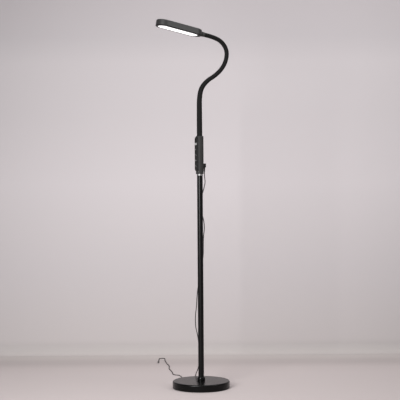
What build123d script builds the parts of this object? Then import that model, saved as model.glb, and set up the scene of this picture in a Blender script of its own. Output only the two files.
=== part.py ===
from build123d import *
import os
from math import copysign, pi, radians, tan

# A gooseneck reading floor lamp, in millimetres.
# The pole stands on the Z axis and the lamp rests on Z = 0.
# The keys and the head face -X. As posed, the neck bends in the XZ plane.

# Fits
seat_gap = 0.1          # round a piece that is pushed or screwed into another
key_gap = 0.25          # round a key in the panel
hinge_gap = 0.3         # between a link's knuckle and the next link's socket

# Base
base_diameter = 230.0
base_top = 29.0
cover_wall = 1.5
cover_edge_radius = 5.0
cover_lift = 1.2        # the cover's rim stands off the floor
pad_diameter = 214.0
pad_thickness = 3.0
weight_diameter = 220.0
weight_thickness = 11.0
weight_edge = 1.5
hub_diameter = 56.0
hub_blend = 4.0
bolt_diameter = 10.0
bolt_head_width = 17.0
bolt_head_height = 6.4
bolt_recess_diameter = 26.0
washer_diameter = 22.0
washer_thickness = 2.0

# Pole
pole_diameter = 23.0
pole_wall = 1.0
pole_height = 831.0     # from the base's top to the controller
pole_insertion = 24.0   # into the controller
pole_sections = 3
seam_chamfer = 0.3
foot_length = 30.0
coupler_length = 60.0
coupler_wall = 3.0
collar_diameter = 32.0
collar_height = 15.0
collar_skirt = 4.0
collar_lip = 1.2
ring_height = 6.0
ring_wall = 0.5

# Controller
housing_diameter = 31.0
housing_height = 152.0
housing_wall = 2.2
housing_top_fillet = 2.0
housing_bottom_fillet = 1.0
socket_height = 26.0    # solid lower end, bored for the pole
crown_height = 22.0     # solid upper end, bored for the neck's bush
set_screw_diameter = 4.4
set_screw_height = 9.0
set_screw_bearing = 220.0   # degrees from +X
shell_screw_diameter = 1.8
shell_screw_head = 2.8
shell_screw_head_height = 1.0
shell_screw_length = 9.0
shell_screw_wall = 0.7      # between the lower screws and the pole
shell_screw_recess = 3.8    # the head's seat, behind the shells' joint

# Key panel and keys
panel_width = 19.0
panel_length = 135.0
panel_height = 79.5     # its middle, above the controller's lower end
panel_front = 18.3      # from the pole's axis
panel_seat = 12.2
panel_wall = 2.0
panel_slope_length = 8.5
panel_slope_depth = 3.5
panel_edge_fillet = 1.6
key_pitch = 22.0
key_names = ("timer", "colour", "dimmer", "brighter", "power")
key_middle = 76.0       # the middle key, above the controller's lower end
key_width = 11.0
key_height = 7.5
power_key_width = 14.0
power_key_height = 9.0
key_proud = 0.9
key_edge = 0.5
key_flange = 1.0
key_flange_thickness = 1.0
key_flange_gap = 0.2
key_travel = 0.6
key_stem_diameter = 3.0
board_face = 9.0        # the board's front, from the pole's axis
board_thickness = 1.6
board_side_gap = 0.5
board_margin = 2.5      # past the switches
switch_size = 6.0
switch_height = 3.5
switch_bore_gap = 0.2
stem_reach = 0.5        # into its switch at rest

# Power inlet and the plug in it
inlet_height = 34.0     # above the controller's lower end
inlet_width = 9.0
inlet_body_height = 11.0
inlet_depth = 10.0
inlet_collar_diameter = 8.0
inlet_bore = 5.7
inlet_pin = 2.0
barrel_diameter = 5.5
barrel_bore = 2.4
barrel_length = 9.5
plug_width = 9.5
plug_height = 16.0
plug_depth = 11.4
plug_fillet = 2.2
relief_length = 17.0
relief_top_diameter = 7.0
relief_end_diameter = 4.8
relief_grooves = 4
relief_groove_width = 1.0
relief_groove_depth = 0.5

# Gooseneck
first_link_length = 43.0
link_pitch = 42.0
link_turns = (0, 0, -10, -32, -19, 10, 18, 25, 44, 33, 11, 0)   # degrees, + towards the head
side_hinges = (2, 6, 12)    # these bend sideways, and the rest in the posed plane
neck_bottom_diameter = 22.0
neck_top_diameter = 17.4
taper_links = 5         # above these the neck is even
knuckle_extra = 0.2     # the knuckle is this much fatter than its tube
socket_lip = 0.6        # of the tube's radius: how far the socket reaches down the knuckle
bush_diameter = 18.0
bush_bore = 6.0
bush_length = 20.0
bush_flange_diameter = 22.0
bush_flange_thickness = 3.0
bush_flange_drop = 13.0
spigot_diameter = 10.0
spigot_length = 10.0
nut_width = 13.0
nut_thickness = 4.0
spigot_end = 0.5        # the ferrule's thread past its nut

# Head
head_length = 203.0
head_width = 64.0
head_thickness = 25.5
head_wall = 2.0
head_top_fillet = 5.0
bezel_thickness = 3.0
bezel_fillet = 1.2
bezel_gap = 0.05
window_length = 176.0
window_width = 47.0
window_rear_margin = 17.0
diffuser_rim = 2.8
diffuser_thickness = 1.8
diffuser_lip = 1.7      # the bezel under the diffuser's rim
diffuser_gap = 0.15     # round its lit face, in the window
tray_rim = 2.5
tray_top_inset = 3.5
led_board_length = 172.0
led_board_width = 48.0
led_board_thickness = 1.6
led_columns = 14
led_rows = 3
led_pitch = 11.5
led_row_pitch = 13.0
led_length = 3.5
led_width = 2.8
led_height = 0.8
post_diameter = 5.2
post_span_x = 132.0
post_span_y = 35.0
board_screw_diameter = 1.9
board_screw_head = 3.8
board_screw_head_height = 1.2
board_screw_reach = 6.0
boss_length = 16.0
boss_root_diameter = 21.2
boss_end_diameter = 19.2
boss_root_reach = 3.0
rear_block_width = 28.0
rear_block_depth = 5.0

# Power cord: from the plug, down behind the pole, over the base's rim and along the floor
cord_diameter = 3.4
cord_points = [
    (22, 0, 869), (22, 0, 849), (25, -1, 827), (22, 4, 804), (17, 11, 777),
    (14, 15, 738), (16, 14, 704), (21, 7, 676), (24, 5, 642), (20, 8, 606),
    (20, 9, 566), (19, 8, 530), (15, 14, 488), (8, 19, 444), (1, 21, 406),
    (-3, 23, 370), (-5, 23, 330), (-10, 26, 286), (-9, 26, 243), (-1, 22, 208),
    (3, 22, 172), (9, 25, 136), (17, 39, 105), (26, 60, 79), (35, 84, 56),
    (43, 107, 41), (51, 126, 26), (54, 140, 9), (58, 161, 1.7), (55, 187, 1.7),
    (50, 212, 1.7), (54, 238, 1.7), (64, 262, 1.7), (73, 285, 1.7), (76, 303, 1.7),
    (66, 313, 1.7), (64, 328, 1.7), (72, 346, 1.7), (86, 371, 1.7), (100, 401, 1.7),
    (112, 430, 1.7), (119, 449, 1.7), (128, 472, 1.7), (143, 497, 1.7), (159, 521, 1.7),
    (169, 542, 1.7), (180, 564, 1.7), (188, 592, 1.7), (205, 627, 1.7), (221, 663, 1.7),
    (237, 694, 1.7), (252, 720, 1.7), (261, 735, 1.7), (259, 744, 1.7), (251, 750, 1.7),
    (241, 749, 1.7), (230, 735, 1.7), (212, 707, 1.7), (200, 686, 3.2), (187, 666, 3.2),
]
end_plug_body = 20.0
end_plug_diameter = 6.4
end_plug_relief = 12.0
end_barrel_diameter = 3.5
end_barrel_bore = 1.4

# Worked out from the sizes above
pole_radius = pole_diameter / 2
housing_radius = housing_diameter / 2
housing_bottom = base_top + pole_height
housing_top = housing_bottom + housing_height
section_length = (pole_height + pole_insertion) / pole_sections
cavity_radius = housing_radius - housing_wall
panel_middle = housing_bottom + panel_height
key_face = panel_front + key_proud
inlet_middle = housing_bottom + inlet_height
cord_exit = inlet_middle - plug_height / 2 - relief_length
link_count = len(link_turns)
window_middle = -window_rear_margin - window_length / 2
shell_bottom = -head_thickness / 2 + bezel_thickness
rim_bottom = -head_thickness / 2 + diffuser_lip
rim_top = rim_bottom + diffuser_thickness
spigot_radius = spigot_diameter / 2
on_floor = (Align.CENTER, Align.CENTER, Align.MIN)


def rod(radius, bottom, top):
    return Pos(0, 0, bottom) * Cylinder(radius, top - bottom, align=on_floor)


def tube(outer_radius, inner_radius, bottom, top):
    return rod(outer_radius, bottom, top) - rod(inner_radius, bottom, top)


def along_x(shape):
    # a piece drawn up the Z axis, laid along +X
    return Rot(0, 90, 0) * shape


def slab(outline, bottom, top):
    return Pos(0, 0, bottom) * extrude(outline, top - bottom)


def half_chord(radius, distance):
    # half the width of a circle, at a distance from its middle
    return (radius ** 2 - distance ** 2) ** 0.5


# ---- base ----

def base_cover():
    height = base_top - cover_lift
    outside = rod(base_diameter / 2, cover_lift, base_top)
    outside = fillet(outside.edges().sort_by(Axis.Z)[-1], cover_edge_radius)
    inside = rod(base_diameter / 2 - cover_wall, cover_lift, base_top - cover_wall)
    inside = fillet(inside.edges().sort_by(Axis.Z)[-1], cover_edge_radius - cover_wall)
    return outside - inside - rod(bolt_diameter / 2 + seat_gap, cover_lift, cover_lift + height)


def base_pad():
    return rod(pad_diameter / 2, 0, pad_thickness)


def base_weight():
    disc = rod(weight_diameter / 2, pad_thickness, pad_thickness + weight_thickness)
    disc = chamfer(disc.edges().group_by(Axis.Z)[-1], weight_edge)
    hub = rod(hub_diameter / 2, pad_thickness, base_top - cover_wall)
    weight = disc + hub
    foot = weight.edges().filter_by(GeomType.CIRCLE)
    foot = [e for e in foot if abs(e.radius - hub_diameter / 2) < 0.01]
    weight = fillet(ShapeList(foot).sort_by(Axis.Z)[0], hub_blend)
    recess_top = pad_thickness + bolt_head_height + washer_thickness + seat_gap
    weight -= rod(bolt_recess_diameter / 2, pad_thickness, recess_top)
    return weight - rod(bolt_diameter / 2 + seat_gap, pad_thickness, base_top)


def base_bolt():
    head_bottom = pad_thickness + seat_gap
    head_top = head_bottom + bolt_head_height
    head = slab(RegularPolygon(bolt_head_width / 2, 6, major_radius=False), head_bottom, head_top)
    return head + rod(bolt_diameter / 2, head_top, base_top + foot_length - 2)


def base_washer():
    bottom = pad_thickness + seat_gap + bolt_head_height
    return tube(washer_diameter / 2, bolt_diameter / 2 + seat_gap, bottom, bottom + washer_thickness)


# ---- pole ----

def pole_section(number):
    bottom = base_top + number * section_length
    top = bottom + section_length
    section = tube(pole_radius, pole_radius - pole_wall, bottom, top)
    rims = section.edges().filter_by(GeomType.CIRCLE)
    rims = [e for e in rims if abs(e.radius - pole_radius) < 0.01]
    return chamfer(rims, seam_chamfer)


def pole_foot():
    outer = pole_radius - pole_wall - seat_gap
    return tube(outer, bolt_diameter / 2 + seat_gap, base_top, base_top + foot_length)


def pole_couplers():
    outer = pole_radius - pole_wall - seat_gap
    joiners = []
    for number in range(1, pole_sections):
        seam = base_top + number * section_length
        joiners.append(tube(outer, outer - coupler_wall, seam - coupler_length / 2, seam + coupler_length / 2))
    return Part() + joiners


def pole_collar():
    # a straight skirt under a quarter-ellipse dome
    bore = pole_radius + seat_gap
    lip = bore + collar_lip
    shoulder = base_top + collar_skirt
    top = base_top + collar_height
    outer = collar_diameter / 2
    skirt = Polyline((bore, top), (bore, base_top), (outer, base_top), (outer, shoulder))
    dome = EllipticalCenterArc((lip, shoulder), outer - lip, top - shoulder)
    rim = Line((lip, top), (bore, top))
    return revolve(Plane.XZ * make_face([*skirt.edges(), dome, rim]), Axis.Z, 360)


def trim_ring():
    inner = pole_radius + seat_gap
    ring = tube(inner + ring_wall, inner, housing_bottom - ring_height, housing_bottom)
    rims = ring.edges().filter_by(GeomType.CIRCLE)
    rims = [e for e in rims if e.radius > inner + 0.01]
    return fillet(rims, ring_wall / 2)


# ---- controller ----

def radial(bearing, height, shape):
    # a piece drawn along +X, turned to its bearing at a height
    return Pos(0, 0, height) * Rot(0, 0, bearing) * shape


def housing_solid():
    body = rod(housing_radius, housing_bottom, housing_top)
    body = fillet(body.edges().group_by(Axis.Z)[-1], housing_top_fillet)
    body = fillet(body.edges().group_by(Axis.Z)[0], housing_bottom_fillet)
    return body


def housing_shells():
    cavity_bottom = housing_bottom + socket_height
    cavity_top = housing_top - crown_height
    body = housing_solid()
    body -= rod(pole_radius + seat_gap, housing_bottom, cavity_bottom)
    body -= rod(cavity_radius, cavity_bottom, cavity_top)
    body -= rod(bush_diameter / 2 + seat_gap, cavity_top, housing_top)
    body -= flange_disc(seat_gap)
    body -= panel_pocket()
    body -= inlet_place(rod(inlet_collar_diameter / 2 + seat_gap, 0, housing_diameter))
    screw_height = housing_bottom + set_screw_height
    body -= radial(set_screw_bearing, screw_height, along_x(rod(set_screw_diameter / 2, 0, housing_diameter)))
    for place in shell_screw_places():
        body -= place * along_x(shell_screw_hole())
    front = split(body, Plane.YZ, keep=Keep.BOTTOM)
    back = split(body, Plane.YZ, keep=Keep.TOP)
    return front, back


def flange_disc(extra):
    top = housing_top - bush_flange_drop
    bottom = top - bush_flange_thickness
    return rod(bush_flange_diameter / 2 + extra, bottom - extra, top + extra)


def shell_screw_places():
    low_y = pole_radius + seat_gap + shell_screw_wall + shell_screw_diameter / 2
    high_y = (bush_diameter / 2 + housing_radius) / 2
    low_z = housing_bottom + socket_height / 2
    high_z = housing_top - bush_flange_drop / 2
    return [Pos(0, y, z) for y, z in ((-low_y, low_z), (low_y, low_z), (-high_y, high_z), (high_y, high_z))]


def shell_screw_hole():
    # a blind hole in the front shell, open to a counterbore in the back one
    tip = shell_screw_recess - shell_screw_length
    shank = rod(shell_screw_diameter / 2 + seat_gap / 2, tip - seat_gap, shell_screw_recess)
    return shank + rod(shell_screw_head / 2 + seat_gap, shell_screw_recess, housing_radius)


def shell_screws():
    tip = shell_screw_recess - shell_screw_length
    screw = rod(shell_screw_diameter / 2, tip, shell_screw_recess)
    head = rod(shell_screw_head / 2, shell_screw_recess, shell_screw_recess + shell_screw_head_height)
    head -= rod(shell_screw_diameter / 3, shell_screw_recess + shell_screw_head_height / 2, housing_radius)
    return Part() + [place * along_x(screw + head) for place in shell_screw_places()]


def set_screw():
    screw = rod(set_screw_diameter / 2 - seat_gap / 2, pole_radius + seat_gap / 2, housing_radius - 0.3)
    hexagon = RegularPolygon(set_screw_diameter / 4, 6, major_radius=False)
    screw -= slab(hexagon, housing_radius - 2.5, housing_radius)
    return radial(set_screw_bearing, housing_bottom + set_screw_height, along_x(screw))


# ---- key panel and keys ----

def panel_block(extra, front, back):
    # the panel's outline seen from the side, with sloped ends, extruded over its width
    half = panel_length / 2 + extra
    slope = front - panel_slope_depth
    side = Polyline(
        (-back, panel_middle - half), (-slope, panel_middle - half),
        (-front, panel_middle - half + panel_slope_length), (-front, panel_middle + half - panel_slope_length),
        (-slope, panel_middle + half), (-back, panel_middle + half), close=True)
    width = panel_width + 2 * extra
    return extrude(Plane.XZ * make_face(side), width / 2, both=True)


def panel_pocket():
    return panel_block(seat_gap, housing_diameter, panel_seat)


def key_outline(name, extra=0.0):
    width = power_key_width if name == "power" else key_width
    height = power_key_height if name == "power" else key_height
    return SlotOverall(width + 2 * extra, height + 2 * extra)


def key_place(name):
    # looking out of the panel: the key's long way across it and its front along -X
    row = key_names.index(name) - (len(key_names) - 1) / 2
    height = housing_bottom + key_middle + row * key_pitch
    return Location(Plane(origin=(0, 0, height), x_dir=(0, 1, 0), z_dir=(-1, 0, 0)))


def key_panel():
    block = panel_block(0, panel_front, panel_seat)
    rim = block.edges().filter_by(Axis.Z).sort_by(Axis.X)[:2]
    block = fillet(rim, panel_edge_fillet)
    hollow_width = power_key_width + 2 * key_flange + 2 * key_gap
    hollow_length = (len(key_names) - 1) * key_pitch + power_key_height + 2 * key_flange + 4 * key_gap
    hollow_depth = panel_front - panel_wall - panel_seat
    hollow = Box(hollow_depth, hollow_width, hollow_length)
    block -= Pos(-panel_seat - hollow_depth / 2, 0, housing_bottom + key_middle) * hollow
    for name in key_names:
        block -= key_place(name) * slab(key_outline(name, key_gap), panel_seat, housing_diameter)
    return block


def key(name):
    flange_front = panel_front - panel_wall - key_flange_gap
    flange_back = flange_front - key_flange_thickness
    cap = slab(key_outline(name), flange_front, key_face)
    cap = fillet(cap.edges().group_by(Axis.Z)[-1], key_edge)
    flange = slab(key_outline(name, key_flange), flange_back, flange_front)
    stem = rod(key_stem_diameter / 2, board_face + switch_height - stem_reach, flange_back)
    return key_place(name) * (cap + flange + stem)


def key_switches():
    bodies = []
    for name in key_names:
        body = slab(Rectangle(switch_size, switch_size), board_face, board_face + switch_height)
        bore_depth = stem_reach + key_travel + switch_bore_gap
        body -= rod(key_stem_diameter / 2 + switch_bore_gap, board_face + switch_height - bore_depth, panel_front)
        bodies.append(key_place(name) * body)
    return Part() + bodies


def control_board():
    half = (len(key_names) - 1) / 2 * key_pitch + switch_size / 2 + board_margin
    width = 2 * half_chord(cavity_radius, board_face) - 2 * board_side_gap
    board = Box(board_thickness, width, 2 * half)
    return Pos(-board_face + board_thickness / 2, 0, housing_bottom + key_middle) * board


# ---- power inlet and plug ----

def inlet_place(shape):
    return Pos(0, 0, inlet_middle) * along_x(shape)


def power_inlet():
    # the body stands inside the back shell and its collar fills the hole through the wall
    collar_front = housing_radius - 0.2
    body_front = half_chord(cavity_radius, inlet_width / 2) - seat_gap
    body = Box(inlet_depth, inlet_width, inlet_body_height)
    body = Pos(body_front - inlet_depth / 2, 0, inlet_middle) * body
    body += inlet_place(rod(inlet_collar_diameter / 2, body_front - 1, collar_front))
    body -= inlet_place(rod(inlet_bore / 2, collar_front - barrel_length - 1, collar_front))
    pin = rod(inlet_pin / 2, collar_front - barrel_length - 2, collar_front - 1.5)
    return body + inlet_place(pin)


def plug_barrel():
    root = housing_radius + 0.2
    return inlet_place(tube(barrel_diameter / 2, barrel_bore / 2, root - barrel_length, root))


def plug_body():
    root = housing_radius + 0.2
    block = Box(plug_depth, plug_width, plug_height)
    block = fillet(block.edges().filter_by(Axis.X), plug_fillet)
    block = fillet(block.edges().group_by(Axis.X)[-1], plug_fillet / 2)
    block = Pos(root + plug_depth / 2, 0, inlet_middle) * block
    return block + Pos(cord_points[0][0], 0, inlet_middle - plug_height / 2) * strain_relief()


def strain_relief():
    # a tapered sleeve that points down, with rings cut round it
    top = relief_top_diameter / 2
    end = relief_end_diameter / 2
    sleeve = Pos(0, 0, -relief_length) * Cone(end, top, relief_length, align=on_floor)
    for number in range(relief_grooves):
        depth = relief_length * (number + 1) / (relief_grooves + 1)
        radius = top + (end - top) * depth / relief_length
        half = relief_groove_width / 2
        groove = tube(top + 1, radius - relief_groove_depth, -half, half)
        sleeve -= Pos(0, 0, -depth) * groove
    return sleeve


# ---- gooseneck ----

def neck_radius(number):
    # the taper starts slowly
    share = min(number / taper_links, 1) ** 2
    return (neck_bottom_diameter + (neck_top_diameter - neck_bottom_diameter) * share) / 2


def link_end(turn):
    # where a link's upper end stands, seen from its lower hinge
    if not turn:
        return Pos(0, 0, link_pitch)
    bend = link_pitch / radians(turn)
    return Pos(-bend, 0, 0) * Rot(0, -turn, 0) * Pos(bend, 0, 0)


def hinge_places():
    # places[n] is hinge n, with Z along the neck; the last one is the neck's end
    places = [None, Pos(0, 0, housing_top + first_link_length)]
    for turn in link_turns:
        places.append(places[-1] * link_end(turn))
    return places


def barrel(radius, hinge):
    lay = Rot(0, 90, 0) if hinge in side_hinges else Rot(90, 0, 0)
    return lay * Cylinder(radius, 4 * radius)


def knuckle(radius, hinge):
    return rod(radius, 0, 2 * radius) & barrel(radius + knuckle_extra, hinge)


def bent_tube(radius, turn):
    if not turn:
        return rod(radius, 0, link_pitch)
    bend = link_pitch / radians(turn)
    pivot = Axis((-bend, 0, 0), (0, -copysign(1, turn), 0))
    return revolve(Circle(radius), pivot, abs(turn))


def neck_link(number, places):
    radius = neck_radius(number)
    turn = link_turns[number - 1]
    body = bent_tube(radius, turn)
    if number < link_count:
        body += link_end(turn) * knuckle(radius, number + 1)
    else:
        body -= rod(spigot_radius + seat_gap, link_pitch - spigot_length - seat_gap, link_pitch)
    below = neck_radius(number - 1) + knuckle_extra + hinge_gap
    body -= Box(4 * radius, 4 * radius, 2 * socket_lip * radius)
    body -= barrel(below, number)
    return places[number] * body


def neck_stub():
    radius = neck_radius(0)
    top = housing_top + first_link_length
    body = rod(radius, housing_top, top) + Pos(0, 0, top) * knuckle(radius, 1)
    return body - rod(spigot_radius + seat_gap, housing_top, housing_top + spigot_length + seat_gap)


def neck_bush():
    bush = rod(bush_diameter / 2, housing_top - bush_length, housing_top) + flange_disc(0)
    bush += rod(spigot_radius, housing_top - 1, housing_top + spigot_length)
    return bush - rod(bush_bore / 2, housing_top - bush_length, housing_top + spigot_length)


# ---- head ----
# Drawn flat, with the neck's end at the origin, the tip along -X and the light facing down.

def head_outline(inset=0.0):
    return Pos(-head_length / 2, 0) * SlotOverall(head_length - 2 * inset, head_width - 2 * inset)


def window_outline(extra=0.0):
    return Pos(window_middle, 0) * SlotOverall(window_length + 2 * extra, window_width + 2 * extra)


def post_places():
    return [Pos(window_middle, 0) * place for place in GridLocations(post_span_x, post_span_y, 2, 2)]


def head_shell():
    top = head_thickness / 2
    outside = slab(head_outline(), shell_bottom, top)
    outside = fillet(outside.edges().group_by(Axis.Z)[-1], head_top_fillet)
    inside = slab(head_outline(head_wall), shell_bottom, top - head_wall)
    inside = fillet(inside.edges().group_by(Axis.Z)[-1], head_top_fillet - head_wall)
    shell = outside - inside
    block = Pos(-head_wall - rear_block_depth / 2, 0, 0) * Box(rear_block_depth, rear_block_width, 2 * top)
    shell += block & slab(head_outline(head_wall / 2), shell_bottom, top - head_wall / 2)
    boss = Cone(boss_root_diameter / 2, boss_end_diameter / 2, boss_length + boss_root_reach, align=on_floor)
    boss = along_x(Pos(0, 0, -boss_root_reach) * boss)
    shell += boss - slab(head_outline(-bezel_gap), -head_thickness, shell_bottom)
    shell -= along_x(rod(neck_radius(link_count) + seat_gap, 0, 2 * boss_length))
    shell -= along_x(rod(spigot_radius + seat_gap, -3 * rear_block_depth, boss_length))
    for place in post_places():
        shell += place * slab(Circle(post_diameter / 2), 0, top - head_wall / 2)
        shell -= place * slab(Circle(board_screw_diameter / 2 + seat_gap / 2), 0, board_screw_reach + 0.5)
    return shell


def head_bezel():
    bottom = -head_thickness / 2
    bezel = slab(head_outline(), bottom, shell_bottom - bezel_gap)
    bezel = fillet(bezel.edges().group_by(Axis.Z)[0], bezel_fillet)
    bezel -= slab(window_outline(), bottom, shell_bottom)
    return bezel - slab(window_outline(diffuser_rim + seat_gap), rim_bottom, shell_bottom)


def diffuser():
    # the lit face fills the window, and its rim lies on the bezel
    face = slab(window_outline(-diffuser_gap), -head_thickness / 2, rim_bottom)
    return face + slab(window_outline(diffuser_rim), rim_bottom, rim_top)


def reflector_tray():
    # a sloped white wall from the LED board down to the diffuser
    bottom = rim_top + seat_gap
    top = -led_board_thickness - seat_gap
    mouth = window_outline()
    throat = window_outline(-tray_top_inset)
    cut = loft([Pos(0, 0, bottom) * mouth, Pos(0, 0, top) * throat])
    return slab(window_outline(tray_rim), bottom, top) - cut


def led_board():
    outline = Pos(window_middle, 0) * RectangleRounded(led_board_length, led_board_width, 6)
    board = slab(outline, -led_board_thickness, 0)
    for place in post_places():
        board -= place * slab(Circle(board_screw_diameter / 2 + seat_gap), -led_board_thickness, 0)
    return board


def led_chips():
    chip = Pos(0, 0, -led_board_thickness - led_height / 2) * Box(led_length, led_width, led_height)
    grid = GridLocations(led_pitch, led_row_pitch, led_columns, led_rows)
    return Part() + [Pos(window_middle, 0) * place * chip for place in grid]


def board_screws():
    head_top = -led_board_thickness
    screws = []
    for place in post_places():
        screw = rod(board_screw_diameter / 2, head_top, board_screw_reach)
        screw += rod(board_screw_head / 2, head_top - board_screw_head_height, head_top)
        screws.append(place * screw)
    return Part() + screws


def neck_ferrule():
    tip = -head_wall - rear_block_depth - nut_thickness - spigot_end
    return along_x(tube(spigot_radius, bush_bore / 2, tip, spigot_length))


def neck_nut():
    seat = -head_wall - rear_block_depth
    hexagon = RegularPolygon(nut_width / 2, 6, major_radius=False, rotation=30)
    nut = slab(hexagon, seat - nut_thickness, seat)
    return along_x(nut - rod(spigot_radius + seat_gap / 2, seat - nut_thickness, seat))


# ---- power cord ----

def cord_route():
    # the hanging points keep up with the plug's height
    stretch = (cord_exit - base_top) / (cord_points[0][2] - base_top)
    return [(x, y, z if z < base_top else base_top + (z - base_top) * stretch) for x, y, z in cord_points]


def cord_radii():
    # each bend's radius, from the shorter of its two runs and its turn
    points = [Vector(*point) for point in cord_route()]
    radii = []
    for before, corner, after in zip(points, points[1:], points[2:]):
        first, second = corner - before, after - corner
        turn = radians(first.get_angle(second))
        radii.append(0.45 * min(first.length, second.length) / tan(turn / 2))
    return radii


def power_cord():
    path = FilletPolyline(*cord_route(), radius=cord_radii())
    start = Plane(origin=path @ 0, z_dir=path % 0)
    cord = sweep(start * Circle(cord_diameter / 2), path=path)
    section = pi * cord_diameter ** 2 / 4
    print("cord length", round(path.length, 1), "volume over section x length", cord.volume / section / path.length)
    print("cord radii", [round(radius) for radius in cord_radii()])
    return cord


def end_plug():
    relief = Cone(cord_diameter / 2 + 0.3, end_plug_diameter / 2 - 0.4, end_plug_relief, align=on_floor)
    body = rod(end_plug_diameter / 2, end_plug_relief, end_plug_relief + end_plug_body)
    body = fillet(body.edges().filter_by(GeomType.CIRCLE), 0.8)
    return level(relief + body)


def end_barrel():
    root = end_plug_relief + end_plug_body
    return level(tube(end_barrel_diameter / 2, end_barrel_bore / 2, root, root + barrel_length))


def level(shape):
    # a piece drawn up the Z axis, laid along the floor past the cord's end
    end = Vector(*cord_points[-1])
    ahead = end - Vector(*cord_points[-2])
    return Location(Plane(origin=end, z_dir=(ahead.X, ahead.Y, 0))) * shape


def model():
    pieces = {
        "base_cover": base_cover(),
        "base_pad": base_pad(),
        "base_weight": base_weight(),
        "base_bolt": base_bolt(),
        "base_washer": base_washer(),
        "pole_lower": pole_section(0),
        "pole_middle": pole_section(1),
        "pole_upper": pole_section(2),
        "pole_foot": pole_foot(),
        "pole_couplers": pole_couplers(),
        "pole_collar": pole_collar(),
        "trim_ring": trim_ring(),
        "key_panel": key_panel(),
        "key_switches": key_switches(),
        "control_board": control_board(),
        "set_screw": set_screw(),
        "shell_screws": shell_screws(),
        "power_inlet": power_inlet(),
        "plug_barrel": plug_barrel(),
        "plug_body": plug_body(),
        "neck_bush": neck_bush(),
        "neck_stub": neck_stub(),
        "power_cord": power_cord(),
        "end_plug": end_plug(),
        "end_barrel": end_barrel(),
    }
    pieces["front_shell"], pieces["back_shell"] = housing_shells()
    for name in key_names:
        pieces["key_" + name] = key(name)
    places = hinge_places()
    for number in range(1, link_count + 1):
        pieces[f"neck_link_{number:02d}"] = neck_link(number, places)
    head = {
        "head_shell": head_shell(),
        "head_bezel": head_bezel(),
        "diffuser": diffuser(),
        "reflector_tray": reflector_tray(),
        "led_board": led_board(),
        "led_chips": led_chips(),
        "board_screws": board_screws(),
        "neck_ferrule": neck_ferrule(),
        "neck_nut": neck_nut(),
    }
    # the flat head's -X runs on along the neck
    head_place = places[-1] * Rot(0, 90, 0)
    for name, piece in head.items():
        pieces[name] = head_place * piece
    for number, place in enumerate(places[1:], 1):
        spot = place.position
        print("hinge", number, round(spot.X, 3), round(spot.Z, 3), "heading", 90 + sum(link_turns[:number - 1]))
    return pieces


os.makedirs("parts", exist_ok=True)
for name, piece in model().items():
    export_step(piece, f"parts/{name}.step")
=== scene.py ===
import bmesh
import bpy
from math import cos, pi, radians, sin, tan
from mathutils import Matrix, Vector


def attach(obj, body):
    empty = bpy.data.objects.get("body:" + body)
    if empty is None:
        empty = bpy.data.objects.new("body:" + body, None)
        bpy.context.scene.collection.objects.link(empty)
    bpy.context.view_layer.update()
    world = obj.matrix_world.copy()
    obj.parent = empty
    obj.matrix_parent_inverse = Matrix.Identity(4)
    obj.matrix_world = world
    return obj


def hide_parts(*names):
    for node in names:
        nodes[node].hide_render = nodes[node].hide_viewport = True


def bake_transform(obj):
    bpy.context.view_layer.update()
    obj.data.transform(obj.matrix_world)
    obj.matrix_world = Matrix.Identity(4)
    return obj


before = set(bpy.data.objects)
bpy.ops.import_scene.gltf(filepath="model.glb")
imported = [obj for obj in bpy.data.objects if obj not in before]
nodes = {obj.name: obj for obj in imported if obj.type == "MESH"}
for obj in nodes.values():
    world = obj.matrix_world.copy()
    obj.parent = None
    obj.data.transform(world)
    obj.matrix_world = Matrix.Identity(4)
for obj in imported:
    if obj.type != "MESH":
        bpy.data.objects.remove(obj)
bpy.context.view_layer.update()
print("frame loaded:", len(nodes), "nodes")

mm = 0.001


# ---- shader maths: a socket that can be added, multiplied and so on ----

class Wire:
    def __init__(self, tree, socket):
        self.tree = tree
        self.socket = socket

    def node(self, kind, settings=None, **inputs):
        return addNode(self.tree, kind, settings, **inputs)

    def maths(self, operation, *values):
        made = self.tree.nodes.new("ShaderNodeMath")
        made.operation = operation
        for socket, value in zip(made.inputs, values):
            plug(self.tree, socket, value)
        return Wire(self.tree, made.outputs[0])

    def __add__(self, other): return self.maths("ADD", self, other)
    def __radd__(self, other): return self.maths("ADD", other, self)
    def __sub__(self, other): return self.maths("SUBTRACT", self, other)
    def __rsub__(self, other): return self.maths("SUBTRACT", other, self)
    def __mul__(self, other): return self.maths("MULTIPLY", self, other)
    def __rmul__(self, other): return self.maths("MULTIPLY", other, self)
    def __truediv__(self, other): return self.maths("DIVIDE", self, other)
    def __gt__(self, other): return self.maths("GREATER_THAN", self, other)
    def sine(self): return self.maths("SINE", self)
    def cosine(self): return self.maths("COSINE", self)
    def least(self, other): return self.maths("MINIMUM", self, other)
    def most(self, other): return self.maths("MAXIMUM", self, other)


def plug(tree, socket, value):
    if isinstance(value, Wire):
        tree.links.new(value.socket, socket)
    elif value is not None:
        socket.default_value = value


def addNode(tree, kind, settings=None, **inputs):
    # settings first, because some of them change which sockets there are; "take" is the output wanted,
    # and inputs i0, i1 and so on go by place, where the others go by label
    made = tree.nodes.new(kind)
    for name, value in (settings or {}).items():
        if name == "stops":
            fillRamp(made.color_ramp, value)
        elif name != "take":
            setattr(made, name, value)
    for name, value in inputs.items():
        spot = int(name[1:]) if name[1:].isdigit() else name.replace("_", " ")
        plug(tree, made.inputs[spot], value)
    return Wire(tree, made.outputs[(settings or {}).get("take", 0)])


def fillRamp(ramp, stops):
    while len(ramp.elements) > 1:
        ramp.elements.remove(ramp.elements[-1])
    ramp.elements[0].position, ramp.elements[0].color = stops[0]
    for position, colour in stops[1:]:
        ramp.elements.new(position).color = colour


def grey(level, warmth=0.0):
    # a display grey from 0 to 255 as a linear colour
    share = level / 255
    linear = share / 12.92 if share < 0.04045 else ((share + 0.055) / 1.055) ** 2.4
    return (linear * (1 + warmth), linear, linear * (1 - warmth * 0.7), 1.0)


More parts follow.
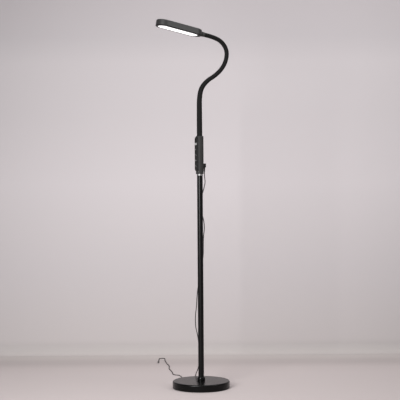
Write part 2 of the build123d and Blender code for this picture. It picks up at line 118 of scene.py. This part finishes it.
def startMaterial(name):
    made = bpy.data.materials.new(name)
    made.use_nodes = True
    tree = made.node_tree
    tree.nodes.clear()
    shader = tree.nodes.new("ShaderNodeBsdfPrincipled")
    output = tree.nodes.new("ShaderNodeOutputMaterial")
    tree.links.new(shader.outputs[0], output.inputs[0])
    place = addNode(tree, "ShaderNodeTexCoord", {"take": "Object"})
    return made, tree, shader, place


def split(place):
    made = place.tree.nodes.new("ShaderNodeSeparateXYZ")
    plug(place.tree, made.inputs[0], place)
    return [Wire(place.tree, socket) for socket in made.outputs]


def noise(place, scale, detail=3.0, roughness=0.55):
    return place.node("ShaderNodeTexNoise", {"take": "Fac"}, Vector=place, Scale=scale, Detail=detail,
                      Roughness=roughness)


def fineGrain(place, scale):
    return noise(place, scale, detail=2.0, roughness=0.6)


def mixColour(fac, first, second):
    return fac.node("ShaderNodeMix", {"data_type": "RGBA", "take": 2}, i0=fac, i6=first, i7=second)


def bump(tree, height, distance):
    return addNode(tree, "ShaderNodeBump", Height=height, Distance=distance, Strength=1.0)


# ---- finishes: greys on the display's scale of 0 to 255, noise scales per metre, depths in metres ----

finishes = {
    "powderCoat": {"dark": 9, "light": 13, "mottle": 22, "grain": 700, "peel": 0.00004,
                   "rough": 0.3, "roughSpread": 0.1, "specular": 0.17},
    "baseEnamel": {"dark": 8, "light": 12, "mottle": 18, "grain": 500, "peel": 0.00002,
                   "rough": 0.22, "roughSpread": 0.06, "specular": 0.14},
    "headShell": {"dark": 36, "light": 43, "mottle": 30, "grain": 1500, "peel": 0.00004,
                  "rough": 0.44, "roughSpread": 0.12, "specular": 0.4},
    "bezelBlack": {"dark": 10, "light": 14, "mottle": 30, "grain": 1500, "peel": 0.00003,
                   "rough": 0.55, "roughSpread": 0.1, "specular": 0.15},
    "mouldedBlack": {"dark": 40, "light": 47, "mottle": 30, "grain": 1500, "peel": 0.00005,
                     "rough": 0.58, "roughSpread": 0.12, "specular": 0.14},
    "panelBlack": {"dark": 10, "light": 14, "mottle": 40, "grain": 1800, "peel": 0.00002,
                   "rough": 0.36, "roughSpread": 0.08, "specular": 0.25},
    "silicone": {"dark": 20, "light": 25, "mottle": 26, "grain": 1300, "peel": 0.00003,
                 "rough": 0.7, "roughSpread": 0.12, "specular": 0.08},
    "cordJacket": {"dark": 12, "light": 17, "mottle": 60, "grain": 1500, "peel": 0.00003,
                   "rough": 0.5, "roughSpread": 0.12, "specular": 0.2},
    "footPad": {"dark": 30, "light": 52, "mottle": 220, "grain": 900, "peel": 0.0003,
                "rough": 0.9, "roughSpread": 0.1, "specular": 0.2},
    "castIron": {"dark": 58, "light": 78, "mottle": 90, "grain": 420, "peel": 0.0004,
                 "rough": 0.62, "roughSpread": 0.2, "specular": 0.4},
}

sootMix = {"mottle": 0.7, "grain": 0.3, "warmth": 0.02}


def sootyFinish(name):
    # a mottled colour, an uneven gloss and a fine bump, all from noise
    look = finishes[name]
    made, tree, shader, place = startMaterial(name)
    mottle = noise(place, look["mottle"])
    grain = fineGrain(place, look["grain"])
    speckle = mottle * sootMix["mottle"] + grain * sootMix["grain"]
    dark, light = grey(look["dark"]), grey(look["light"], sootMix["warmth"])
    plug(tree, shader.inputs["Base Color"], mixColour(speckle, dark, light))
    plug(tree, shader.inputs["Roughness"], look["rough"] + look["roughSpread"] * (speckle - 0.5))
    plug(tree, shader.inputs["Normal"], bump(tree, grain, look["peel"]))
    shader.inputs["Specular IOR Level"].default_value = look["specular"]
    return made


latheLook = {
    "slant": 0.35, "depth": 0.00001, "ringRough": 0.05,
    "tarnish": 180.0, "tarnishDetail": 4.0, "tarnishRough": 0.1, "dulling": 16, "warmth": 0.01,
}


def turnedMetal(name, level, rough, grooves):
    # fine rings cut by a lathe, with a faint tarnish between them
    look = latheLook
    made, tree, shader, place = startMaterial(name)
    across, along, rise = split(place)
    rings = ((rise + across * look["slant"]) * grooves).sine() * 0.5 + 0.5
    tarnish = noise(place, look["tarnish"], look["tarnishDetail"])
    dull, bright = grey(level - look["dulling"]), grey(level, look["warmth"])
    plug(tree, shader.inputs["Base Color"], mixColour(tarnish, dull, bright))
    plug(tree, shader.inputs["Roughness"],
         rough + look["tarnishRough"] * (tarnish - 0.5) + look["ringRough"] * rings)
    plug(tree, shader.inputs["Normal"], bump(tree, rings, look["depth"]))
    shader.inputs["Metallic"].default_value = 1.0
    return made


mouldLook = {"grain": 1600.0, "depth": 0.00003, "roughSpread": 0.1, "cloud": 35.0, "cloudDepth": 6}


def mouldedPlastic(name, level, rough, tint=(1, 1, 1)):
    look = mouldLook
    made, tree, shader, place = startMaterial(name)
    grain = fineGrain(place, look["grain"])
    cloud = noise(place, look["cloud"])
    low, high = [tuple(part * share for part, share in zip(grey(shade), (*tint, 1)))
                 for shade in (level - look["cloudDepth"], level)]
    plug(tree, shader.inputs["Base Color"], mixColour(cloud, low, high))
    plug(tree, shader.inputs["Roughness"], rough + look["roughSpread"] * (grain - 0.5))
    plug(tree, shader.inputs["Normal"], bump(tree, grain, look["depth"]))
    return made


boardLook = {
    "weave": 6000, "maskDark": (0.012, 0.075, 0.032, 1), "maskLight": (0.016, 0.1, 0.042, 1),
    "traces": 2400, "wander": 700, "wanderBy": 1.5, "thin": 0.86, "traceShare": 0.6,
    "trace": (0.05, 0.2, 0.08, 1), "rough": 0.36, "roughSpread": 0.1,
}


def boardFinish():
    # solder mask over a faint weave, with paler traces
    look = boardLook
    made, tree, shader, place = startMaterial("circuitBoard")
    across, along, rise = split(place)
    weave = ((along * look["weave"]).sine() * (rise * look["weave"]).sine()) * 0.5 + 0.5
    wander = (rise * look["wander"]).sine() * look["wanderBy"]
    traces = ((along * look["traces"] + wander).sine() > look["thin"]) * look["traceShare"]
    mask = mixColour(weave, look["maskDark"], look["maskLight"])
    plug(tree, shader.inputs["Base Color"], mixColour(traces, mask, look["trace"]))
    plug(tree, shader.inputs["Roughness"], look["rough"] + look["roughSpread"] * weave)
    return made


materials = {name: sootyFinish(name) for name in finishes}
materials["steel"] = turnedMetal("zincSteel", 178, 0.3, 9000)
materials["ring"] = turnedMetal("brightRing", 158, 0.5, 16000)
materials["keyGrey"] = mouldedPlastic("keyGrey", 34, 0.4)
materials["keySilver"] = mouldedPlastic("keySilver", 160, 0.4)
materials["keyMark"] = mouldedPlastic("keyMark", 220, 0.55)
materials["powerMark"] = mouldedPlastic("powerMark", 60, 0.55)
materials["whitePlastic"] = mouldedPlastic("whitePlastic", 236, 0.45)
materials["phosphor"] = mouldedPlastic("phosphor", 226, 0.35, (1, 0.82, 0.32))
materials["circuitBoard"] = boardFinish()
print("finishes made:", len(materials))


# ---- the power cord, on the CAD tube's own route ----

cordLook = {
    "diameter": 3.4 * mm,
    "length": 1.697,
    "bevelSteps": 5,
    "steps": 8,             # between two points of the route
    "route": [              # in mm
        (22, 0, 869), (22, 0, 849), (25, -1, 827), (22, 4, 804), (17, 11, 777),
        (14, 15, 738), (16, 14, 704), (21, 7, 676), (24, 5, 642), (20, 8, 606),
        (20, 9, 566), (19, 8, 530), (15, 14, 488), (8, 19, 444), (1, 21, 406),
        (-3, 23, 370), (-5, 23, 330), (-10, 26, 286), (-9, 26, 243), (-1, 22, 208),
        (3, 22, 172), (9, 25, 136), (17, 39, 105), (26, 60, 79), (35, 84, 56),
        (43, 107, 41), (51, 126, 26), (54, 140, 9), (58, 161, 1.7), (55, 187, 1.7),
        (50, 212, 1.7), (54, 238, 1.7), (64, 262, 1.7), (73, 285, 1.7), (76, 303, 1.7),
        (66, 313, 1.7), (64, 328, 1.7), (72, 346, 1.7), (86, 371, 1.7), (100, 401, 1.7),
        (112, 430, 1.7), (119, 449, 1.7), (128, 472, 1.7), (143, 497, 1.7), (159, 521, 1.7),
        (169, 542, 1.7), (180, 564, 1.7), (188, 592, 1.7), (205, 627, 1.7), (221, 663, 1.7),
        (237, 694, 1.7), (252, 720, 1.7), (261, 735, 1.7), (259, 744, 1.7), (251, 750, 1.7),
        (241, 749, 1.7), (230, 735, 1.7), (212, 707, 1.7), (200, 686, 3.2), (187, 666, 3.2),
    ],
}


def layCord():
    line = bpy.data.curves.new("powerCord", "CURVE")
    line.dimensions = "3D"
    line.bevel_depth = cordLook["diameter"] / 2
    line.bevel_resolution = cordLook["bevelSteps"]
    line.resolution_u = cordLook["steps"]
    line.use_fill_caps = True
    spline = line.splines.new("NURBS")
    spline.points.add(len(cordLook["route"]) - 1)
    for point, spot in zip(spline.points, cordLook["route"]):
        point.co = (*[value * mm for value in spot], 1)
    spline.order_u = 3
    spline.use_endpoint_u = True
    cord = bpy.data.objects.new("powerCord", line)
    bpy.context.collection.objects.link(cord)
    line.materials.append(materials["cordJacket"])
    return cord


cord = layCord()
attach(cord, "stand")
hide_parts("power_cord")
print("cord laid")


# ---- the gooseneck's sleeve, swept along the hinges' arcs ----

neckLook = {
    "foot": (0, 1012),          # x and z where it leaves the controller, in mm
    "stub": 43,                 # below the first hinge
    "pitch": 42,
    "turns": (0, 0, -10, -32, -19, 10, 18, 25, 44, 33, 11, 0),
    "bottomRadius": 11.0 * mm,
    "topRadius": 8.7 * mm,
    "taperEnd": 0.253,          # along the neck, in metres
    "ringStep": 1.5 * mm,
    "sides": 40,
    "lineSteps": 16,
    "softSpan": 0.4,            # of the pitch, each side of a hinge; the spots it gives are worked out below but not used
    "fromAbove": (9,),          # meant to follow the upper body, as from the lower its sums lose digits with every joint at its maximum; it is baked like the others below
}


def neckKnots():
    # each hinge's place and heading, in mm and degrees, with the neck's two ends
    look = neckLook
    x, z = look["foot"]
    knots = [(x, z, 90)]
    z += look["stub"]
    heading = 90
    for turn in look["turns"]:
        knots.append((x, z, heading))
        half = radians(turn) / 2
        chord = look["pitch"] * (sin(half) / half if half else 1)
        slope = radians(heading) + half
        x += chord * cos(slope)
        z += chord * sin(slope)
        heading += turn
    knots.append((x, z, heading))
    return knots


knots = neckKnots()


def armLength(run, turn):
    # a Bezier handle that follows an arc of that length and turn
    angle = abs(radians(turn))
    return run / 3 if not angle else 4 / 3 * tan(angle / 4) * run / angle


def neckLine():
    line = bpy.data.curves.new("neckLine", "CURVE")
    line.dimensions = "3D"
    spline = line.splines.new("BEZIER")
    spline.bezier_points.add(len(knots) - 1)
    spline.resolution_u = neckLook["lineSteps"]
    runs = [neckLook["stub"]] + [neckLook["pitch"]] * len(neckLook["turns"])
    turns = [0, *neckLook["turns"]]
    for index, (point, (x, z, heading)) in enumerate(zip(spline.bezier_points, knots)):
        spot = Vector((x, 0, z)) * mm
        ahead = Vector((cos(radians(heading)), 0, sin(radians(heading)))) * mm
        before, after = [armLength(runs[min(side, len(runs) - 1)], turns[min(side, len(turns) - 1)])
                         for side in (max(index - 1, 0), index)]
        point.handle_left_type = point.handle_right_type = "FREE"
        point.co = spot
        point.handle_left = spot - ahead * before
        point.handle_right = spot + ahead * after
    return line


def sweepTree():
    # trims the neck's line, gives it its taper and sweeps a ring along it
    tree = bpy.data.node_groups.new("sleeveSweep", "GeometryNodeTree")
    face = tree.interface
    face.new_socket("Line", in_out="INPUT", socket_type="NodeSocketGeometry")
    for name in ("From", "To", "Bottom Radius", "Top Radius", "Taper End", "Ring Step"):
        face.new_socket(name, in_out="INPUT", socket_type="NodeSocketFloat")
    face.new_socket("Sides", in_out="INPUT", socket_type="NodeSocketInt")
    face.new_socket("Finish", in_out="INPUT", socket_type="NodeSocketMaterial")
    face.new_socket("Sleeve", in_out="OUTPUT", socket_type="NodeSocketGeometry")
    given = tree.nodes.new("NodeGroupInput")
    value = {socket.name: Wire(tree, socket) for socket in given.outputs if socket.name}
    fine = addNode(tree, "GeometryNodeResampleCurve", {"mode": "LENGTH"},
                   Curve=value["Line"], i3=value["Ring Step"])
    along = addNode(tree, "GeometryNodeSplineParameter", {"take": "Length"})
    share = (along / value["Taper End"]).least(1.0)
    radius = value["Bottom Radius"] + (value["Top Radius"] - value["Bottom Radius"]) * share * share
    kept = addNode(tree, "GeometryNodeStoreNamedAttribute", {"data_type": "FLOAT", "domain": "POINT"},
                   Geometry=fine, Name="girth", Value=radius)
    cut = addNode(tree, "GeometryNodeTrimCurve", {"mode": "LENGTH"},
                  Curve=kept, i4=value["From"], i5=value["To"])
    ring = addNode(tree, "GeometryNodeCurvePrimitiveCircle", None, Resolution=value["Sides"], Radius=1.0)
    girth = addNode(tree, "GeometryNodeInputNamedAttribute", {"data_type": "FLOAT"}, Name="girth")
    sleeve = addNode(tree, "GeometryNodeCurveToMesh", None, Curve=cut, Profile_Curve=ring, Scale=girth,
                     Fill_Caps=True)
    whole = addNode(tree, "GeometryNodeRealizeInstances", None, Geometry=sleeve)
    done = addNode(tree, "GeometryNodeSetMaterial", None, Geometry=whole, Material=value["Finish"])
    tree.links.new(done.socket, tree.nodes.new("NodeGroupOutput").inputs[0])
    return tree


def runTree(name, data, tree, settings):
    # the tree's result as a plain mesh object, with nothing left live on it
    holder = bpy.data.objects.new(name + "Source", data)
    bpy.context.collection.objects.link(holder)
    modifier = holder.modifiers.new(name, "NODES")
    modifier.node_group = tree
    sockets = {item.name: item.identifier for item in tree.interface.items_tree if item.in_out == "INPUT"}
    for label, value in settings.items():
        modifier[sockets[label]] = value
    bpy.context.view_layer.update()
    seen = holder.evaluated_get(bpy.context.evaluated_depsgraph_get())
    mesh = bpy.data.meshes.new_from_object(seen)
    holder.modifiers.clear()
    bpy.data.objects.remove(holder)
    made = bpy.data.objects.new(name, mesh)
    bpy.context.collection.objects.link(made)
    return made


def neckSpot(length):
    # the neck's axis at a length in mm past the first hinge, each link's arc taken as a shallow parabola
    share = length / neckLook["pitch"]
    index = min(max(int(share // 1), 0), len(knots) - 3)
    if length < 0:
        return Vector((knots[1][0], 0, knots[1][1] + length)) * mm
    first, last = [Vector((x, 0, z)) for x, z, heading in knots[index + 1:index + 3]]
    turn = radians(neckLook["turns"][index])
    bulge = 0.5 * neckLook["pitch"] * turn / 4     # how far the arc's middle leaves its chord
    part = share - index
    side = Vector((-(last - first).z, 0, (last - first).x)).normalized()
    return (first.lerp(last, part) - side * bulge * 4 * part * (1 - part)) * mm


def dressNeck():
    tree = sweepTree()
    line = neckLine()
    look = neckLook
    count = len(look["turns"])
    for number in range(1, count + 1):
        hinge = look["stub"] + look["pitch"] * (number - 1)
        half = look["pitch"] / 2
        start = 0 if number == 1 else hinge - half
        end = look["stub"] + look["pitch"] * count if number == count else hinge + half
        sleeve = runTree(f"sleeve_{number:02d}", line, tree, {
            "From": start * mm, "To": end * mm, "Bottom Radius": look["bottomRadius"],
            "Top Radius": look["topRadius"], "Taper End": look["taperEnd"], "Ring Step": look["ringStep"],
            "Sides": look["sides"], "Finish": materials["silicone"]})
        reach = look["softSpan"] * look["pitch"]
        past = look["pitch"] * (number - 1)
        low, high = neckSpot(past - reach), neckSpot(past + reach)
        if number in look["fromAbove"]:
            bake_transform(sleeve)
        else:
            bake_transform(sleeve)
        stands = [f"neck_link_{number:02d}"] + (["neck_stub"] if number == 1 else [])
        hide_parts(*stands)


dressNeck()
print("gooseneck swept")


# ---- materials on the CAD's own pieces ----

finishOf = {
    "powderCoat": "pole_lower pole_middle pole_upper",
    "baseEnamel": "base_cover pole_collar",
    "headShell": "head_shell",
    "bezelBlack": "head_bezel",
    "mouldedBlack": "front_shell back_shell power_inlet key_switches",
    "panelBlack": "key_panel",
    "cordJacket": "plug_body end_plug",
    "footPad": "base_pad",
    "castIron": "base_weight",
    "steel": "base_bolt base_washer pole_foot pole_couplers shell_screws board_screws neck_bush neck_ferrule"
             " neck_nut plug_barrel end_barrel",
    "powerMark": "set_screw",
    "ring": "trim_ring",
    "keyGrey": "key_timer key_colour key_dimmer key_brighter",
    "keySilver": "key_power",
    "whitePlastic": "reflector_tray led_board",
    "phosphor": "led_chips",
    "circuitBoard": "control_board",
}

opalLook = {
    "pitch": 11.5 * mm, "rowPitch": 13.0 * mm,      # of the LEDs behind it
    "tilt": radians(10), "behind": -105.0 * mm,     # the head's slope, and where the rows start
    "between": (0.96, 0.96, 0.97, 1), "pool": (1.0, 0.99, 0.96, 1), "strength": 0.86,
    "dark": 238, "light": 246, "warmth": 0.01, "cloud": 60.0, "rough": 0.3, "roughSpread": 0.1,
}


def glowingOpal():
    # lit from behind by the LEDs: each shows as a faint warm pool in a white field
    look = opalLook
    made, tree, shader, place = startMaterial("litOpal")
    x, z, heading = knots[-1]
    # the head's own frame: +X back along the head towards the neck
    local = addNode(tree, "ShaderNodeMapping", {"vector_type": "TEXTURE"}, Vector=place,
                    Location=(x * mm, 0, z * mm), Rotation=(0, look["tilt"], 0))
    along, across, rise = split(local)
    column = ((along - look["behind"]) * (2 * pi / look["pitch"]) + pi).cosine() * -0.5 + 0.5
    row = (across * (2 * pi / look["rowPitch"])).cosine() * 0.5 + 0.5
    pool = column * row
    cloud = noise(place, look["cloud"])
    dark, light = grey(look["dark"]), grey(look["light"], look["warmth"])
    plug(tree, shader.inputs["Base Color"], mixColour(cloud, dark, light))
    plug(tree, shader.inputs["Roughness"], look["rough"] + look["roughSpread"] * cloud)
    plug(tree, shader.inputs["Emission Color"], mixColour(pool, look["between"], look["pool"]))
    shader.inputs["Emission Strength"].default_value = look["strength"]
    return made


materials["opal"] = glowingOpal()
finishOf["opal"] = "diffuser"
for finish, names in finishOf.items():
    for name in names.split():
        for slot in nodes[name].material_slots:
            slot.material = materials[finish]
print("CAD pieces dressed")


# ---- raised symbols on the keys ----

keyLook = {
    "names": ("timer", "colour", "dimmer", "brighter", "power"),
    "face": -19.2 * mm,     # the keys' fronts, from the pole's axis
    "middle": 936 * mm,
    "pitch": 22 * mm,
    "wire": 0.2 * mm,       # half a line's width
    "sunk": 0.12 * mm,      # a line's middle, behind the key's face
    "arcSteps": 24,
}


def sunRays(inner, outer, count=8):
    turns = [2 * pi * number / count for number in range(count)]
    return [[(reach * cos(turn), reach * sin(turn)) for reach in (inner, outer)] for turn in turns]


# in mm across and up the key: an arc is its middle, radius and two bearings in degrees
symbols = {
    "timer": {"arcs": [(0, 0, 2.2, 0, 360)], "lines": [[(0, 1.4), (0, 0), (1.0, 0)]]},
    "colour": {"arcs": [(-1.0, 0, 1.7, 0, 360), (1.0, 0, 1.7, 0, 360)], "lines": []},
    "dimmer": {"arcs": [(0, 0, 0.9, 0, 360)], "lines": sunRays(1.5, 1.9)},
    "brighter": {"arcs": [(0, 0, 1.2, 0, 360)], "lines": sunRays(1.9, 2.8)},
    "power": {"arcs": [(0, -0.3, 2.3, 125, 415)], "lines": [[(0, 0.4), (0, 2.9)]]},
}


def keySymbol(name):
    look = keyLook
    rise = look["middle"] + (look["names"].index(name) - len(look["names"]) // 2) * look["pitch"]
    line = bpy.data.curves.new(name + "Symbol", "CURVE")
    line.dimensions = "3D"
    line.bevel_depth = look["wire"]
    line.bevel_resolution = 1
    line.use_fill_caps = True
    strokes = [(list(stroke), False) for stroke in symbols[name]["lines"]]
    for across, up, radius, start, end in symbols[name]["arcs"]:
        whole = end - start == 360
        steps = look["arcSteps"]
        turns = [radians(start + (end - start) * step / steps)
                 for step in range(steps if whole else steps + 1)]
        spots = [(across + radius * cos(turn), up + radius * sin(turn)) for turn in turns]
        strokes.append((spots, whole))
    for spots, whole in strokes:
        spline = line.splines.new("POLY")
        spline.points.add(len(spots) - 1)
        spline.use_cyclic_u = whole
        for point, (across, up) in zip(spline.points, spots):
            point.co = (look["face"] + look["sunk"], -across * mm, rise + up * mm, 1)
    holder = bpy.data.objects.new(name + "Holder", line)
    bpy.context.collection.objects.link(holder)
    seen = holder.evaluated_get(bpy.context.evaluated_depsgraph_get())
    symbol = bpy.data.objects.new(name + "Symbol", bpy.data.meshes.new_from_object(seen))
    bpy.data.objects.remove(holder)
    bpy.context.collection.objects.link(symbol)
    symbol.data.materials.append(materials["powerMark" if name == "power" else "keyMark"])
    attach(symbol, name + "_key")


for name in keyLook["names"]:
    keySymbol(name)
print("key symbols raised")


# ---- camera, lights and backdrop ----

studio = {
    "focal": 1222 / 400,        # in image widths
    "sensor": 36,               # width in mm
    "distance": 4.9,            # from the pole's axis
    "height": 0.872,
    "bearing": radians(32),     # the camera stands this far round from the front
    "pitch": radians(1.36),     # down
    "roll": radians(0.388),
}


def placeCamera():
    seen = bpy.data.cameras.new("camera")
    seen.sensor_width = studio["sensor"]
    seen.lens = studio["focal"] * studio["sensor"]
    camera = bpy.data.objects.new("camera", seen)
    bpy.context.collection.objects.link(camera)
    turn = studio["bearing"]
    away = Vector((sin(turn), cos(turn), 0))
    camera.location = -away * studio["distance"] + Vector((0, 0, studio["height"]))
    level = Matrix.Rotation(-turn, 4, "Z") @ Matrix.Rotation(radians(90) - studio["pitch"], 4, "X")
    camera.rotation_euler = (level @ Matrix.Rotation(-studio["roll"], 4, "Z")).to_euler()
    bpy.context.scene.camera = camera
    return away


away = placeCamera()
right = Vector((away.y, -away.x, 0))


def softLight(name, place, aim, size, power):
    lamp = bpy.data.lights.new(name, "AREA")
    lamp.shape = "RECTANGLE"
    lamp.size, lamp.size_y = size
    lamp.energy = power
    light = bpy.data.objects.new(name, lamp)
    bpy.context.collection.objects.link(light)
    light.location = place
    light.rotation_euler = (Vector(aim) - Vector(place)).to_track_quat("-Z", "Y").to_euler()
    return light


# reach is from the pole's axis, rise from the floor and aim on the pole, in metres; power in watts
studioLights = {
    "key": {"bearing": -24, "reach": 2.6, "rise": 1.12, "aim": 0.9, "size": (1.1, 1.1), "power": 84},
    "fill": {"bearing": 62, "reach": 3.0, "rise": 1.85, "aim": 1.1, "size": (0.9, 1.0), "power": 22},
    "top": {"bearing": 20, "reach": 0.7, "rise": 3.3, "aim": 0.0, "size": (3.4, 2.2), "power": 62},
}


def hangLights():
    # bearings are from the camera's own, in degrees, + to its right
    for name, light in studioLights.items():
        turn = radians(light["bearing"])
        flat = (right * sin(turn) - away * cos(turn)) * light["reach"]
        softLight(name + "Light", flat + Vector((0, 0, light["rise"])), (0, 0, light["aim"]),
                  light["size"], light["power"])


hangLights()

backdrop = {
    "near": -16.0,      # along the view, from the pole's axis
    "bend": 0.86,       # where the floor turns up into the wall
    "bendRadius": 0.05,
    "bendSteps": 12,
    "height": 4.2,
    "halfWidth": 14.0,
    # metres along the floor and on up the wall, display grey, and the red and blue shares; the greys paint
    # light and shade, with painted shade in a band on the floor short of the bend and at the foot of the wall
    "paperTintAndPaintedShade": [
        (-0.5, 175, 1.12, 0.99), (0.0, 178, 1.12, 0.99), (0.35, 181, 1.12, 0.99), (0.5, 180, 1.12, 0.985),
        (0.63, 171, 1.12, 0.985), (0.71, 173, 1.11, 0.98), (0.78, 181, 1.1, 0.975), (0.83, 184, 1.09, 0.975),
        (0.875, 180, 1.09, 0.98), (0.92, 172, 1.08, 0.98), (0.945, 172, 1.08, 0.99), (0.98, 181, 1.08, 1.0),
        (1.3, 184, 1.07, 1.02), (1.5, 187, 1.07, 1.02), (1.72, 190, 1.07, 1.025), (2.05, 183, 1.07, 1.025),
        (2.3, 181, 1.07, 1.025), (2.42, 172.5, 1.07, 1.03), (2.6, 167, 1.08, 1.03),
    ],
    "paintedLightMiddle": 0.05, # where across the view the painted pool of light on the backdrop is brightest, at the floor
    "paintedLightSlant": 0.3,    # how fast the painted light falls off into painted shade from there
    "paintedLightFalloff": 0.1,    # how fast it darkens from there
    "paintedShadeLimit": 0.78,    # and how far that painted shade goes
    "fibre": 900.0, "fibreDepth": 0.02,
    "rough": 0.9, "specular": 0.1,
}


def sweepBackdrop():
    # floor and wall as one sheet, drawn as a profile across the view and extruded sideways
    profile = [(backdrop["near"], 0.0)]
    steps = backdrop["bendSteps"]
    radius = backdrop["bendRadius"]
    for step in range(steps + 1):
        turn = pi / 2 * step / steps
        profile.append((backdrop["bend"] + radius * sin(turn), radius * (1 - cos(turn))))
    profile.append((backdrop["bend"] + radius, backdrop["height"]))
    mesh = bpy.data.meshes.new("backdrop")
    build = bmesh.new()
    leftEdge, rightEdge = [[build.verts.new((side, run, rise)) for run, rise in profile]
                           for side in (-backdrop["halfWidth"], backdrop["halfWidth"])]
    # wound so that the floor faces up and the wall faces the lamp
    for index in range(len(profile) - 1):
        build.faces.new((leftEdge[index], rightEdge[index], rightEdge[index + 1], leftEdge[index + 1]))
    build.to_mesh(mesh)
    build.free()
    for face in mesh.polygons:
        face.use_smooth = True
    sheet = bpy.data.objects.new("backdrop", mesh)
    bpy.context.collection.objects.link(sheet)
    sheet.rotation_euler = (0, 0, -studio["bearing"])
    return sheet


def tinted(level, red, blue):
    base = grey(level)[1]
    return (base * red, base, base * blue, 1.0)


def paintBackdropLightAndShade():
    # object Y runs away from the camera along the floor, and Z up the wall
    made, tree, shader, place = startMaterial("studioPaperPaintedLight")
    across, along, rise = split(place)
    # the ramp paints light and shade along the floor and up the wall over the paper's tint, with painted
    # shade bands short of the bend and at the wall's foot
    first, last = backdrop["paperTintAndPaintedShade"][0][0], backdrop["paperTintAndPaintedShade"][-1][0]
    stops = [((spot - first) / (last - first), tinted(*paint)) for spot, *paint in backdrop["paperTintAndPaintedShade"]]
    paperTintAndPaintedShade = addNode(tree, "ShaderNodeValToRGB", {"stops": stops}, Fac=(along + rise - first) / (last - first))
    # a painted pool of light across the view, slanting as it goes up the wall, with painted shade to either
    # side
    aside = across - (rise * backdrop["paintedLightSlant"] + backdrop["paintedLightMiddle"])
    paintedFalloff = (1.0 - aside * aside * backdrop["paintedLightFalloff"]).most(backdrop["paintedShadeLimit"])
    fibre = noise(place, backdrop["fibre"], 2.0) * backdrop["fibreDepth"] + (1 - backdrop["fibreDepth"] / 2)
    shade = addNode(tree, "ShaderNodeVectorMath", {"operation": "SCALE"}, i0=paperTintAndPaintedShade, Scale=paintedFalloff * fibre)
    plug(tree, shader.inputs["Base Color"], shade)
    shader.inputs["Roughness"].default_value = backdrop["rough"]
    shader.inputs["Specular IOR Level"].default_value = backdrop["specular"]
    # clear from behind, so that the lamp's back can be looked at through the wall
    behind = addNode(tree, "ShaderNodeNewGeometry", {"take": "Backfacing"})
    clear = addNode(tree, "ShaderNodeBsdfTransparent")
    either = addNode(tree, "ShaderNodeMixShader", None, i0=behind, i1=Wire(tree, shader.outputs[0]), i2=clear)
    tree.links.new(either.socket, tree.nodes["Material Output"].inputs[0])
    return made


sheet = sweepBackdrop()
sheet.data.materials.append(paintBackdropLightAndShade())

roomLight = {"level": 225, "strength": 0.18}
world = bpy.data.worlds.new("studio")
bpy.context.scene.world = world
world.use_nodes = True
room = world.node_tree.nodes["Background"]
room.inputs["Color"].default_value = grey(roomLight["level"])
room.inputs["Strength"].default_value = roomLight["strength"]
bpy.context.scene.view_settings.view_transform = "Standard"
print("camera and studio set")
